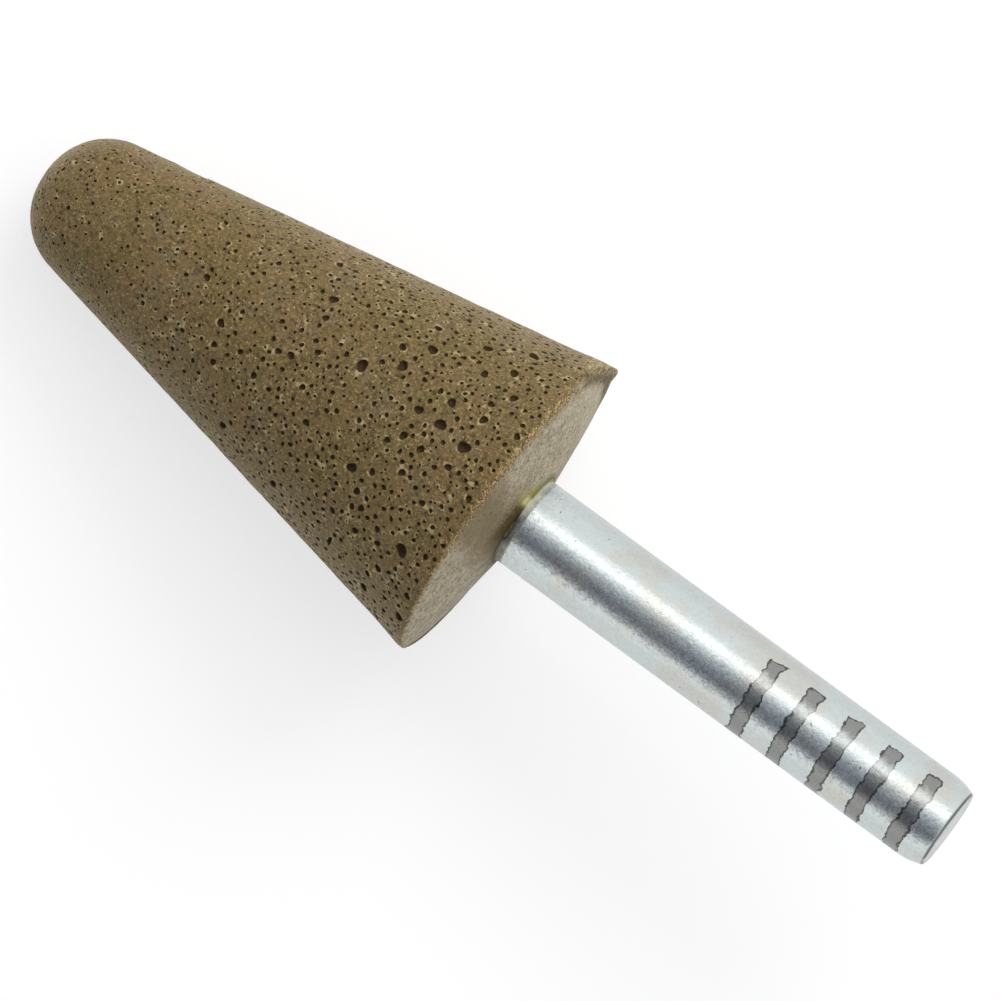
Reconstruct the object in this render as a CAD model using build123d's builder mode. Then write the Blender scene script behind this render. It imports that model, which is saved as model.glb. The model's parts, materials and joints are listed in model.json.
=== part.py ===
from build123d import *
from math import asin, atan, atan2, cos, hypot, sin, sqrt
import os

# Mounted grinding point: a cone of bonded abrasive with a rounded nose, moulded round a blind bore,
# and a plain steel shank cemented into that bore. The point lies on the flank of its cone, nose low
# and shank rising, which is how it comes to rest on a bench.
# Sizes are in millimetres and degrees. Along the tool, distances run from the tip of the nose.

# Head: its length is taken to the plane of the rim, and its base face rises from there to the bore
head_length = 36.0
cone_base_diameter = 21.78
cone_tip_diameter = 8.05
rim_flare = 0.11
rim_flare_length = 2.6
nose_crown_radius = 6.4
nose_shoulder_offset = 0.35
base_face_rise = 1.3
bore_depth = 21.3

# Shank: its reach is taken from the plane of the rim
shank_diameter = 6.0
shank_reach = 34.0
end_round_length = 1.75
end_round_drop = 0.36
tang_step = 0.2
knurl_length = 12.0
knurl_depth = 0.25
knurl_grooves = 12

# Cement
cement_film = 0.2
cement_under_shank = 0.4
bead_width = 0.5
bead_height = 0.3

# Blow-holes: the large bubbles of the bond that the skin cuts open. Their depth is a share of the
# diameter of the mouth
hole_depth_share = 0.4
# Upper side, one by one: distance back from the rim along the skin, angle round the axis from the
# top, and diameter of the mouth
upper_blow_holes = [
    (3.0, 8, 0.84),
    (5.1, 10, 0.76),
    (9.4, 21, 0.72),
    (11.5, 12, 0.82),
    (8.6, 34, 0.69),
    (3.5, 57, 0.72),
    (2.6, -35, 0.90),
    (8.2, -23, 0.70),
    (7.2, -59, 0.95),
    (3.8, -65, 0.69),
    (20.6, -10, 0.56),
]
# Lower side, spread evenly over the skin
lower_hole_count = 2
lower_hole_first = 2.5
lower_hole_last = 18.0
lower_side_half_width = 105.0
lower_hole_diameter_min = 0.6
lower_hole_diameter_max = 0.9
golden_share = (sqrt(5) - 1) / 2

# Sizes that follow from those above
rim_radius = cone_base_diameter / 2 + rim_flare
shank_radius = shank_diameter / 2
tang_radius = shank_radius - tang_step
bore_radius = shank_radius + cement_film
bore_mouth = head_length + base_face_rise
bore_bottom = bore_mouth - bore_depth
tang_start = bore_bottom + cement_under_shank
bead_toe_radius = shank_radius + bead_width
bead_toe = bore_mouth - base_face_rise * (bead_toe_radius - bore_radius) / (rim_radius - bore_radius)
bead_top = bore_mouth + bead_height
shank_end = head_length + shank_reach
round_start = (shank_end - end_round_length, shank_radius)
end_face_edge = (shank_end, shank_radius - end_round_drop)

# The flank is a straight cone between its diameters at the base and at the plane of the tip
cone_tip_radius = cone_tip_diameter / 2
flank_slope = (cone_base_diameter / 2 - cone_tip_radius) / head_length
half_angle = atan(flank_slope)
flare_start_x = head_length - rim_flare_length
flare_start = (flare_start_x, cone_tip_radius + flank_slope * flare_start_x)
rim_point = (head_length, rim_radius)

# The shoulder arc of the nose touches the flank and runs on into the crown arc. Its centre lies a
# set offset from the axis. Both touch conditions together give one quadratic for its place
touch_reach = nose_crown_radius - (cone_tip_radius - nose_shoulder_offset) * cos(half_angle)
quad_a = cos(half_angle) ** 2
quad_b = touch_reach * sin(half_angle) - nose_crown_radius
quad_c = nose_crown_radius**2 + nose_shoulder_offset**2 - touch_reach**2
shoulder_x = (-quad_b - sqrt(quad_b**2 - quad_a * quad_c)) / quad_a
shoulder_radius = nose_crown_radius - touch_reach + shoulder_x * sin(half_angle)
crown_reach = nose_crown_radius / (nose_crown_radius - shoulder_radius)
crown_end = (
    nose_crown_radius + crown_reach * (shoulder_x - nose_crown_radius),
    crown_reach * nose_shoulder_offset,
)
flank_start = (
    shoulder_x - shoulder_radius * sin(half_angle),
    nose_shoulder_offset + shoulder_radius * cos(half_angle),
)

# The head rests on its rim and on the shoulder of its nose, and the line that touches both gives
# the tilt of the tool
rim_run = head_length - shoulder_x
rim_rise = rim_radius - nose_shoulder_offset
lie_angle = atan2(rim_rise, rim_run) - asin(shoulder_radius / hypot(rim_run, rim_rise))
nose_left = shoulder_x * cos(lie_angle) - nose_shoulder_offset * sin(lie_angle) - shoulder_radius
end_right = shank_end * cos(lie_angle) + end_face_edge[1] * sin(lie_angle)
tip_height = rim_radius * cos(lie_angle) - head_length * sin(lie_angle)

# Section plane through the tool: its x runs along the axis from the tip, its y away from the axis
tool_section = Plane(
    origin=(-(nose_left + end_right) / 2, 0, tip_height),
    x_dir=(cos(lie_angle), 0, sin(lie_angle)),
    z_dir=(0, -1, 0),
)
tool_axis = Axis(tool_section.origin, tool_section.x_dir)


# Places of the blow-holes
def lower_blow_holes():
    """Spread holes evenly over the lower side: equal steps of skin area, turned by the golden share."""
    taper = sin(half_angle)
    near_radius = rim_radius - lower_hole_first * taper
    far_radius = rim_radius - lower_hole_last * taper
    diameter_span = lower_hole_diameter_max - lower_hole_diameter_min
    holes = []
    for number in range(lower_hole_count):
        area_share = (number + 0.5) / lower_hole_count
        radius = sqrt(near_radius**2 + area_share * (far_radius**2 - near_radius**2))
        swing = 2 * (number * golden_share % 1) - 1
        angle = 180 + swing * lower_side_half_width
        diameter = lower_hole_diameter_min + diameter_span * (number * golden_share**2 % 1)
        holes.append(((rim_radius - radius) / taper, angle, diameter))
    return holes


def plane_on_skin(skin, from_rim, angle):
    """Lay a plane on the skin of the head, with its normal pointing out of the abrasive."""
    section = Plane(tool_section.location * Rotation(-angle, 0, 0))
    distance = skin.length - from_rim
    place = skin.position_at(distance, PositionMode.LENGTH)
    along = skin.tangent_at(distance, PositionMode.LENGTH)
    seat = section.from_local_coords(place)
    above = section.from_local_coords(place + Vector(-along.Y, along.X, 0))
    return Plane(origin=seat, x_dir=section.z_dir, z_dir=above - seat)


# Abrasive head: one moulded piece, revolved round the tool's axis, with open blow-holes in its skin
with BuildPart() as abrasive_head:
    with BuildSketch(tool_section):
        with BuildLine():
            crown = RadiusArc((0, 0), crown_end, nose_crown_radius)
            shoulder = TangentArc(crown @ 1, flank_start, tangent=crown % 1)
            flank = Line(shoulder @ 1, flare_start)
            flare = Line(flank @ 1, rim_point)
            Polyline(
                rim_point,
                (bore_mouth, bore_radius),
                (bore_bottom, bore_radius),
                (bore_bottom, 0),
                (0, 0),
            )
        make_face()
    revolve(axis=tool_axis)
    skin_line = Wire([crown, shoulder, flank, flare])
    for from_rim, angle, diameter in upper_blow_holes + lower_blow_holes():
        depth = hole_depth_share * diameter
        bubble_radius = (diameter**2 / 4 + depth**2) / (2 * depth)
        with Locations(plane_on_skin(skin_line, from_rim, angle).offset(bubble_radius - depth)):
            Sphere(bubble_radius, mode=Mode.SUBTRACT)
abrasive_head.part.label = "abrasive_head"

# Shank: a ground pin with a rounded free end. Its tang in the bore is a little thinner and knurled,
# for the cement to grip
with BuildPart() as shank:
    with BuildSketch(tool_section):
        with BuildLine():
            barrel = Polyline(
                (tang_start, 0),
                (tang_start, tang_radius),
                (bead_top, tang_radius),
                (bead_top, shank_radius),
                round_start,
            )
            TangentArc(round_start, end_face_edge, tangent=barrel % 1)
            Polyline(end_face_edge, (shank_end, 0), (tang_start, 0))
        make_face()
    revolve(axis=tool_axis)
    inner_end = Plane(
        origin=tool_section.from_local_coords((tang_start, 0, 0)),
        x_dir=tool_section.y_dir,
        z_dir=tool_section.x_dir,
    )
    with BuildSketch(inner_end):
        with PolarLocations(tang_radius, knurl_grooves):
            Polygon(
                (-knurl_depth, 0),
                (knurl_depth, -2 * knurl_depth),
                (knurl_depth, 2 * knurl_depth),
                align=None,
            )
    extrude(amount=knurl_length, mode=Mode.SUBTRACT)
shank.part.label = "shank"

# Cement: it fills the bore round and below the shank, and stands proud of the base face in a bead
with BuildPart() as cement:
    with BuildSketch(tool_section):
        with BuildLine():
            Polyline(
                (bore_bottom, 0),
                (bore_bottom, bore_radius),
                (bore_mouth, bore_radius),
                (bead_toe, bead_toe_radius),
                (bead_top, shank_radius),
                (bead_top, 0),
                (bore_bottom, 0),
            )
        make_face()
    revolve(axis=tool_axis)
    add(shank.part, mode=Mode.SUBTRACT)
cement.part.label = "cement"

os.makedirs("parts", exist_ok=True)
export_step(abrasive_head.part, "parts/abrasive_head.step")
export_step(shank.part, "parts/shank.step")
export_step(cement.part, "parts/cement.step")
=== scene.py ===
# %% [markdown]
# A mounted grinding point, dressed for the camera
#
# The real object is a cone of bonded abrasive with a steel shank cemented into its base. The bond
# foamed a little while it was fired, so its skin is full of small open bubbles. The CAD frame gives
# the places and sizes of the three pieces. This lesson adds what the frame leaves plain: more than
# three thousand pores, the crumbled rim, the stained base, the zinc on the shank and the studio.

import json
from itertools import product
from math import asin, atan, atan2, cos, hypot, pi, radians, sin, sqrt, tau

import bpy
import numpy as np
from mathutils import Matrix, Vector, geometry, kdtree, noise

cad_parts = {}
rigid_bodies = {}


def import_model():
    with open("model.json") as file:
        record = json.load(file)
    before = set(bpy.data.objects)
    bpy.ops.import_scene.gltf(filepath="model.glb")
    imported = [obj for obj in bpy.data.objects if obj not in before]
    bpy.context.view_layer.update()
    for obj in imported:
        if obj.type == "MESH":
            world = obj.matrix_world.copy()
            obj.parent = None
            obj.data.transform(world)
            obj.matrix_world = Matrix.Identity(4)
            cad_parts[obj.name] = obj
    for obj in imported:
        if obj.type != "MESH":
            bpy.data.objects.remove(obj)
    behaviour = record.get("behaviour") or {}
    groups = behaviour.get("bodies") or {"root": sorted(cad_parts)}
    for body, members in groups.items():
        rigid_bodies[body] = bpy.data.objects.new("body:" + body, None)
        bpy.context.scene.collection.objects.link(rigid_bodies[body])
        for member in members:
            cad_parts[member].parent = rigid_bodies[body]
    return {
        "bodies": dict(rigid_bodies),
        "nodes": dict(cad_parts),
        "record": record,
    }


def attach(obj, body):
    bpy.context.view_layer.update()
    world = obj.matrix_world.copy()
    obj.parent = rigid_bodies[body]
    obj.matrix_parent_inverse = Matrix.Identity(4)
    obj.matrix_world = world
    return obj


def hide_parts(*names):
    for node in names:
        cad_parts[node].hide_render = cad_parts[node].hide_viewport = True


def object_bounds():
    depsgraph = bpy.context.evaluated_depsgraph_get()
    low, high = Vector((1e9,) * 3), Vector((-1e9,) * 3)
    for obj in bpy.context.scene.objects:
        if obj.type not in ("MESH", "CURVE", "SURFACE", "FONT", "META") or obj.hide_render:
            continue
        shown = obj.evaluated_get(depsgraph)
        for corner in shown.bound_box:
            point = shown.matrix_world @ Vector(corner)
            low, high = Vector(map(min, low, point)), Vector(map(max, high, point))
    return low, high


for leftover in list(bpy.data.objects):
    bpy.data.objects.remove(leftover)
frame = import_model()
cad_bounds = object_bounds()
body = next(iter(frame["bodies"]))
mm = 0.001
print("CAD pieces:", sorted(frame["nodes"]), "on the body", body)

# %% [markdown]
# Finding the tool's own axis
#
# The tool lies on the flank of its cone, so its axis is tilted in the scene. Every round shape is
# easier to describe along that axis. The record holds the axis of the shank, which is where the
# tool is clamped, and the vertices of the head show where the head begins and ends on it.

# %% Measure the head along the axis
clamp = frame["record"]["mounts"][0]
axis = Vector(clamp["axis"]).normalized()
side = Vector((0, 1, 0))
up = axis.cross(side)


def seen_along_axis(node):
    """Distance along the axis and distance from it, for each vertex of a CAD piece."""
    mesh = frame["nodes"][node].data
    places = np.empty(len(mesh.vertices) * 3)
    mesh.vertices.foreach_get("co", places)
    offsets = places.reshape(-1, 3) - np.array(clamp["pos_m"])
    along = offsets @ np.array(axis)
    away = np.linalg.norm(offsets - np.outer(along, axis), axis=1)
    return along, away


head_along, head_away = seen_along_axis("abrasive_head")
shank_along, _ = seen_along_axis("shank")
tip = Vector(clamp["pos_m"]) + axis * float(head_along.min())
head_length = float(head_along[head_away.argmax()] - head_along.min())
mouth_place = float(np.ptp(head_along))
rim_radius = float(head_away.max())
shank_start = float(shank_along.min() - head_along.min())
shank_end = float(shank_along.max() - head_along.min())
shank_radius = clamp["dims"]["r_mm"] * mm
print(f"head {head_length / mm:.2f} mm to its rim, {2 * rim_radius / mm:.2f} mm across")
print(f"base face rises {(mouth_place - head_length) / mm:.2f} mm to the bore")
print(f"shank from {shank_start / mm:.2f} to {shank_end / mm:.2f} mm")


# %% Make a helper for places on the tool
def on_tool(along, away, angle):
    """Places on the tool, as rows of x, y, z. Angle 0 is on top and a quarter turn is towards +Y."""
    along, away, angle = np.broadcast_arrays(along, away, angle)
    return (
        np.array(tip)
        + np.multiply.outer(along, np.array(axis))
        + np.multiply.outer(away * np.cos(angle), np.array(up))
        + np.multiply.outer(away * np.sin(angle), np.array(side))
    )


print("the tip lies at", [round(float(value) / mm, 2) for value in on_tool(0, 0, 0)], "mm")

# %% [markdown]
# The section of the head
#
# The head was moulded, so half of its outline, turned once round the axis, gives the whole skin. The
# nose is two arcs that run into each other, the flank is a straight cone, and the last few
# millimetres flare out very slightly. The base face is a shallow cone that rises to the bore. The
# outline could be a curve object, but one long table of closely spaced points is enough to read off
# any place later.

# %% Solve the two arcs of the nose
tip_plane_radius = 4.025 * mm
base_plane_radius = 10.89 * mm
crown_radius = 6.4 * mm
shoulder_offset = 0.35 * mm

half_angle = atan((base_plane_radius - tip_plane_radius) / head_length)
touch = crown_radius - (tip_plane_radius - shoulder_offset) * cos(half_angle)
quad_a = cos(half_angle) ** 2
quad_b = touch * sin(half_angle) - crown_radius
quad_c = crown_radius**2 + shoulder_offset**2 - touch**2
shoulder_along = (-quad_b - sqrt(quad_b**2 - quad_a * quad_c)) / quad_a
shoulder_radius = crown_radius - touch + shoulder_along * sin(half_angle)
crown_angle = atan2(shoulder_offset, crown_radius - shoulder_along)
print(f"the shoulder of the nose has a radius of {shoulder_radius / mm:.2f} mm")

# %% Draw the section from the tip to the bore
flare_length = 2.6 * mm
bore_radius = 3.2 * mm
skin_step = 0.01 * mm


def arc_points(centre_along, centre_away, radius, start, end):
    """Points of an arc of the section. Angles are taken from the line back to the tip."""
    count = int(radius * (end - start) / skin_step) + 2
    angles = np.linspace(start, end, count)
    return np.column_stack(
        (centre_along - radius * np.cos(angles), centre_away + radius * np.sin(angles))
    )


def line_points(start, end):
    """Points of a straight stretch of the section."""
    count = int(hypot(end[0] - start[0], end[1] - start[1]) / skin_step) + 2
    return np.linspace(start, end, count)


crown = arc_points(crown_radius, 0, crown_radius, 0, crown_angle)
shoulder = arc_points(
    shoulder_along, shoulder_offset, shoulder_radius, crown_angle, pi / 2 - half_angle
)
flare_along = head_length - flare_length
flare_start = (flare_along, tip_plane_radius + flare_along * sin(half_angle) / cos(half_angle))
flank = line_points(shoulder[-1], flare_start)
flare = line_points(flare_start, (head_length, rim_radius))
base = line_points((head_length, rim_radius), (mouth_place, bore_radius))
section = np.vstack((crown, shoulder[1:], flank[1:], flare[1:], base[1:]))
rim_row = len(section) - len(base)
print(f"section of {len(section)} points, flank at {half_angle / radians(1):.2f} degrees")

# %% [markdown]
# Unrolling the skin without stretching the pores
#
# A grid that is wrapped round a cone squeezes its cells towards the nose, and a pore drawn on it
# would come out as an oval. A map that keeps angles turns the whole skin into a flat disc, with the
# tip in the middle, in which small circles stay circles. Its radius grows with the running sum of
# each short step divided by the radius there. Mesh points are laid out on the disc, joined into
# triangles there, and put back on the head afterwards.

# %% Make the flat disc of the head
steps = np.hypot(*np.diff(section, axis=0).T)
from_rim = np.concatenate(([0], np.cumsum(steps)))
from_rim -= from_rim[rim_row]
middle_radius = (section[1:, 1] + section[:-1, 1]) / 2
growth = np.concatenate(([0], np.cumsum(steps / middle_radius)))
growth -= growth[rim_row]
tangent = np.gradient(section, axis=0)
tangent /= np.hypot(*tangent.T)[:, None]
outward = np.column_stack((-tangent[:, 1], tangent[:, 0]))
disc_radius = np.exp(growth)
disc_radius[0] = 0
nose_length = -from_rim[0]
base_width = from_rim[-1]
print(f"skin {nose_length / mm:.2f} mm from tip to rim, base {base_width / mm:.2f} mm wide")


# %% Make helpers that go to the disc and back
def to_disc(distance, angle):
    """Point of the disc for a distance from the rim, negative towards the nose, and an angle."""
    reach = np.interp(distance, from_rim, disc_radius)
    return np.stack((reach * np.cos(angle), reach * np.sin(angle)), axis=-1)


def from_disc(points):
    """Distance from the rim and angle for points of the disc."""
    reach = np.hypot(points[..., 0], points[..., 1])
    angle = np.arctan2(points[..., 1], points[..., 0])
    return np.interp(reach, disc_radius, from_rim), angle


def disc_scale(distance):
    """How much larger the disc is than the head at a distance from the rim."""
    reach = np.interp(distance, from_rim, disc_radius)
    return reach / np.maximum(np.interp(distance, from_rim, section[:, 1]), skin_step)


def on_head(distance, angle, depth):
    """Places on the head, a depth below its smooth surface."""
    along = np.interp(distance, from_rim, section[:, 0])
    away = np.interp(distance, from_rim, section[:, 1])
    outward_along = np.interp(distance, from_rim, outward[:, 0])
    outward_away = np.interp(distance, from_rim, outward[:, 1])
    return on_tool(along - outward_along * depth, away - outward_away * depth, angle)


print(f"the disc is {disc_scale(0) * mm:.4f} units larger for each mm at the rim")

# %% [markdown]
# Placing the pores
#
# The pores are bubbles of the bond that the mould or the dressing tool cut open. A bump texture
# could darken them, but it would be flat from the side and lost in the exported mesh, so they are
# real pits. The largest ones were measured one by one, because the eye finds them at once. The rest
# are scattered by a seeded random generator, larger and denser towards the base and finer on the
# nose, and each one keeps a thin wall to its neighbours, as bubbles do.

# %% Note the large pores
large_pores = [
    # distance back from the rim in mm, angle from the top in degrees, diameter in mm
    (3.0, 8, 0.84), (5.1, 10, 0.76), (9.4, 21, 0.72), (11.5, 12, 0.82), (8.6, 34, 0.69),
    (3.5, 57, 0.72), (2.6, -35, 0.90), (8.2, -23, 0.70), (3.8, -65, 0.69), (20.6, -10, 0.56),
    (6.8, 10, 0.60), (6.6, -1, 0.56), (3.1, 20, 0.56), (5.4, 19, 0.62), (10.2, 28, 0.50),
    (5.0, 36, 0.56), (2.5, 33, 0.54), (3.6, 43, 0.62), (6.0, 48, 0.60), (9.3, 45, 0.50),
    (0.7, 21, 0.48), (7.3, -6, 0.44), (5.3, -12, 0.50), (12.3, -21, 0.50), (3.1, -16, 0.44),
    (1.0, -30, 0.44), (7.1, -29, 0.53), (5.9, -43, 0.50), (3.4, -49, 0.56), (0.7, -60, 0.69),
    (12.3, -59, 0.56), (15.7, 31, 0.60), (23.1, 5, 0.47), (15.6, -2, 0.50), (20.2, -21, 0.44),
    (16.9, -20, 0.47), (13.8, -10, 0.44), (15.3, 21, 0.44), (17.1, -55, 0.59), (14.3, 6, 0.44),
    (4.2, -40, 0.47), (0.8, -48, 0.50),
]
lower_large_pores = [(5.9, 75, 0.60), (13.6, -155, 0.71)]
torn_pore = (7.2, -59, 0.95)
measured_pores = large_pores + lower_large_pores + [torn_pore]
print(f"{len(measured_pores)} large pores noted")

# %% Wish for the rest
random = np.random.default_rng(36)
# start and end of a zone back from the rim in mm, pores per square mm, share of middle and wide ones
zones = [
    (0.0, 9.0, 5.2, 0.30, 0.020),
    (9.0, 17.0, 4.6, 0.24, 0.012),
    (17.0, 25.0, 3.2, 0.11, 0.003),
    (25.0, 39.4, 1.9, 0.02, 0.000),
]
fine_diameter = (0.16, 0.28)
middle_diameter = (0.28, 0.38)
wide_diameter = (0.38, 0.52)
small_bias = 1.2
base_pores_per_mm2 = 0.5
base_pore_diameter = (0.12, 0.24)
area_steps = 200


def spread_over(near, far, density):
    """Distances from the rim, spread so that each square mm of the surface gets its share."""
    distances = np.linspace(near, far, area_steps)
    radii = np.interp(distances, from_rim, section[:, 1])
    area = np.concatenate(([0], np.cumsum((radii[1:] + radii[:-1]) / 2 * np.diff(distances))))
    count = int(density * tau * area[-1] / mm**2)
    return np.interp(random.random(count) * area[-1], area, distances)


def scattered_sizes(count, middle_share, wide_share):
    """Diameters in mm for a number of pores."""
    draw = random.random(count)
    spread = random.random(count) ** small_bias
    limits = np.where(
        draw[:, None] < wide_share,
        wide_diameter,
        np.where(draw[:, None] < wide_share + middle_share, middle_diameter, fine_diameter),
    )
    return limits[:, 0] + spread * (limits[:, 1] - limits[:, 0])


wished = []
for near, far, density, middle_share, wide_share in zones:
    distances = spread_over(-far * mm, -near * mm, density)
    diameters = scattered_sizes(len(distances), middle_share, wide_share)
    angles = random.uniform(-pi, pi, len(distances))
    wished += zip(distances, angles, diameters / 2 * mm)
distances = spread_over(0, base_width, base_pores_per_mm2)
diameters = random.uniform(*base_pore_diameter, len(distances))
angles = random.uniform(-pi, pi, len(distances))
wished += zip(distances, angles, diameters / 2 * mm)
wished.sort(key=lambda pore: -pore[2])
print(f"{len(wished)} pores wished for")

# %% Keep the pores apart
pore_wall = 0.07 * mm
wide_from = 0.21 * mm
lip_share = 1.12
lumpiness = 1.15
rim_clearance = 0.19 * mm
tip_clearance = 0.25 * mm
shelf_cell = 1.1 * mm
shelf = {}


def full_reach(radius):
    """How far a pore reaches from its centre, with its lip and its lumps."""
    return radius * lumpiness * (lip_share if radius >= wide_from else 1.0)


def put(place, reach):
    """Note a pore in its cell of the shelf, where its neighbours find it quickly."""
    key = tuple(int(value // shelf_cell) for value in place)
    shelf.setdefault(key, []).append((place, reach))


def has_room(place, reach, widest):
    """Whether a pore keeps its wall to all the pores that are there already."""
    search = reach + widest + pore_wall
    spans = [
        range(int((value - search) // shelf_cell), int((value + search) // shelf_cell) + 1)
        for value in place
    ]
    near = [other for key in product(*spans) for other in shelf.get(key, [])]
    return all(np.linalg.norm(place - p) > reach + r + pore_wall for p, r in near)


def off_the_edges(distance, reach):
    """Whether a pore keeps clear of the rim, the bore and the very tip."""
    if abs(distance) < reach + rim_clearance or distance > base_width - reach - rim_clearance:
        return False
    return distance >= -nose_length + reach + tip_clearance


pores = [(-back * mm, radians(turn), width / 2 * mm) for back, turn, width in measured_pores]
for distance, angle, radius in pores:
    put(on_head(distance, angle, 0), full_reach(radius))
widest_reach = max(full_reach(radius) for _, _, radius in pores)
for distance, angle, radius in wished:
    place = on_head(distance, angle, 0)
    reach = full_reach(radius)
    if off_the_edges(distance, reach) and has_room(place, reach, widest_reach):
        put(place, reach)
        pores.append((distance, angle, radius))
print(f"{len(pores)} pores placed")

# %% [markdown]
# Shaping one pore
#
# A cut bubble is a steep-walled pit with a round floor. Cutting thousands of balls out of the cone
# would be slow and leave ragged edges. Drawn as rings of points a pit needs few triangles: one ring
# at the mouth, one or two down the wall and a point on the floor. The rings are nested on the flat
# disc, where the triangles are made, and only then pushed down and out again, so a wall can stand
# upright. Wide pores also get a lip, because the light catches their edge.

# %% Describe the three grades of pore
middle_from = 0.145 * mm
# each ring: corners, radius on the disc, radius on the head, depth, all as shares of the mouth
fine_rings = [(6, 1.00, 1.00, 0.00), (6, 0.60, 0.94, 0.95), (1, 0.00, 0.00, 1.45)]
middle_rings = [(9, 1.00, 1.00, 0.00), (9, 0.64, 0.98, 0.75), (1, 0.00, 0.00, 1.30)]
wide_rings = [
    (16, lip_share, lip_share, 0.00),
    (16, 1.00, 1.00, 0.07),
    (16, 0.72, 1.00, 0.58),
    (8, 0.38, 0.66, 1.00),
    (1, 0.00, 0.00, 1.12),
]


def rings_of(radius):
    """The rings of points that a pore of this radius gets, and which of them is its mouth."""
    if radius < middle_from:
        return fine_rings, 0
    if radius < wide_from:
        return middle_rings, 0
    return wide_rings, 1


print(f"{sum(radius >= wide_from for _, _, radius in pores)} wide pores have a lip")


# %% Collect the points of the disc
class PointCloud:
    """Points of the disc with where they sit, how deep, and what they belong to."""

    def __init__(self):
        self.parts, self.edges, self.count = [], [], 0

    def add(self, flat, seat, depth=0.0, inside=0.0, lip=0.0, mouth=0, tied=False):
        """Add points, and give back the number of the first. Tied ones make a ring of edges."""
        first, corners = self.count, len(flat)
        values = [np.full(corners, value) for value in (depth, inside, lip, mouth)]
        self.parts.append((flat, seat, *values))
        if tied:
            self.edges += [(first + i, first + (i + 1) % corners) for i in range(corners)]
        self.count += corners
        return first


cloud = PointCloud()
print("an empty cloud of points")

# %% Draw every pore
oval_share = 0.12
bump_share = 0.07
torn_narrowing = 0.38


def add_pore(number, distance, angle, radius, narrowing=1.0):
    """Add the rings of one pore. Its outline is a slightly lumpy oval with a random lean."""
    rings, mouth_row = rings_of(radius)
    centre = to_disc(distance, angle)
    scale = disc_scale(distance)
    ahead = np.array((cos(angle), sin(angle)))
    across = np.array((-sin(angle), cos(angle)))
    lean, lump, start = random.uniform(0, tau, 3)
    for row, (corners, flat_share, seat_share, depth_share) in enumerate(rings):
        turn = start + np.arange(corners) * tau / corners
        wobble = 1 + oval_share * np.cos(2 * (turn - lean)) + bump_share * np.cos(3 * (turn - lump))
        shape = np.outer(np.cos(turn) * wobble, ahead) * narrowing
        shape += np.outer(np.sin(turn) * wobble, across)
        flat = centre + shape * radius * scale * flat_share
        seat = centre + shape * radius * scale * seat_share
        tied = row <= mouth_row
        mouth = number if row == mouth_row else 0
        cloud.add(flat, seat, radius * depth_share, float(not tied), float(tied), mouth, tied)


torn_number = len(measured_pores)
for number, pore in enumerate(pores, start=1):
    add_pore(number, *pore, narrowing=torn_narrowing if number == torn_number else 1.0)
print(f"{cloud.count} points on the pores")

# %% [markdown]
# Filling the skin between the pores
#
# Between the pores the skin only needs enough points to carry its slight unevenness. They are laid
# in staggered rows of nearly equal steps, and a tree of the pores' centres finds the ones that would
# fall into a pore or crowd its mouth.

# %% Look for the pores near a place
row_step = 0.27 * mm
mouth_clearance = 0.35
search_margin = 1.2

pore_tree = kdtree.KDTree(len(pores))
for index, (distance, angle, radius) in enumerate(pores):
    pore_tree.insert(on_head(distance, angle, 0), index)
pore_tree.balance()
widest_pore = max(radius for _, _, radius in pores)


def clear_of_pores(place):
    """Whether a place of the skin keeps its distance from every pore."""
    for _, index, gap in pore_tree.find_range(place, search_margin * widest_pore + row_step):
        if gap < full_reach(pores[index][2]) + mouth_clearance * row_step:
            return False
    return True


print(f"the widest pore is {2 * widest_pore / mm:.2f} mm across")

# %% Lay the rows of the skin and the base
jitter_share = 0.22
rim_corners = 330
rim_shoulder = 0.17 * mm
bore_corners = 96


def add_rows(start, end):
    """Fill a stretch of the surface with rows of points that stay clear of the pores."""
    for distance in np.arange(start, end, row_step * sqrt(3) / 2):
        ring = np.interp(distance, from_rim, section[:, 1]) * tau
        corners = max(int(ring / row_step), 6)
        angles = random.uniform(0, tau) + np.arange(corners) * tau / corners
        angles = angles + random.uniform(-jitter_share, jitter_share, corners) * tau / corners
        rows = distance + random.uniform(-jitter_share, jitter_share, corners) * row_step
        keep = [clear_of_pores(place) for place in on_head(rows, angles, 0)]
        points = to_disc(rows[keep], angles[keep])
        cloud.add(points, points)


def add_ring(distance, corners):
    """Add a full ring of points that are tied together."""
    points = to_disc(distance, np.arange(corners) * tau / corners)
    return cloud.add(points, points, tied=True)


cloud.add(np.zeros((1, 2)), np.zeros((1, 2)))
add_rows(-nose_length + row_step, -rim_shoulder - row_step / 2)
for distance in (-rim_shoulder, 0, rim_shoulder):
    add_ring(distance, rim_corners)
add_rows(rim_shoulder + row_step, base_width - row_step)
bore_mouth = add_ring(base_width, bore_corners)
print(f"{cloud.count} points in all")

# %% Join the points into triangles
fill_outline = 0
merge_distance = 0.0
name_sources = True

flat, seat, pore_depth, inside, lip, mouth = map(np.concatenate, zip(*cloud.parts))
joined = geometry.delaunay_2d_cdt(
    [Vector(p) for p in flat], cloud.edges, [], fill_outline, merge_distance, name_sources
)
crossings = sum(not sources for sources in joined[3])
if crossings:
    raise SystemExit(f"{crossings} mouths cross each other: widen the walls between the pores")
given = np.array([sources[0] for sources in joined[3]])
triangles = given[np.array(joined[2])]
print(f"{len(triangles)} triangles, {len(flat) - len(given)} points lost")

# %% [markdown]
# Wear and unevenness of the abrasive
#
# A dressed abrasive is never quite smooth. The skin undulates by a few hundredths of a millimetre,
# the sharp rim has crumbled almost all round, one side of the base is worn lower, and this one has
# dents near its tip and a blob of flash on the rim, with a low swelling beside it. A sculpting brush
# could do it by hand. Here each kind of wear is a depth for each point, so it can be added up and
# changed. It only cuts into the smooth form, so the head still fits the frame. The flash stands out
# along the axis, where there is room.


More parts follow.
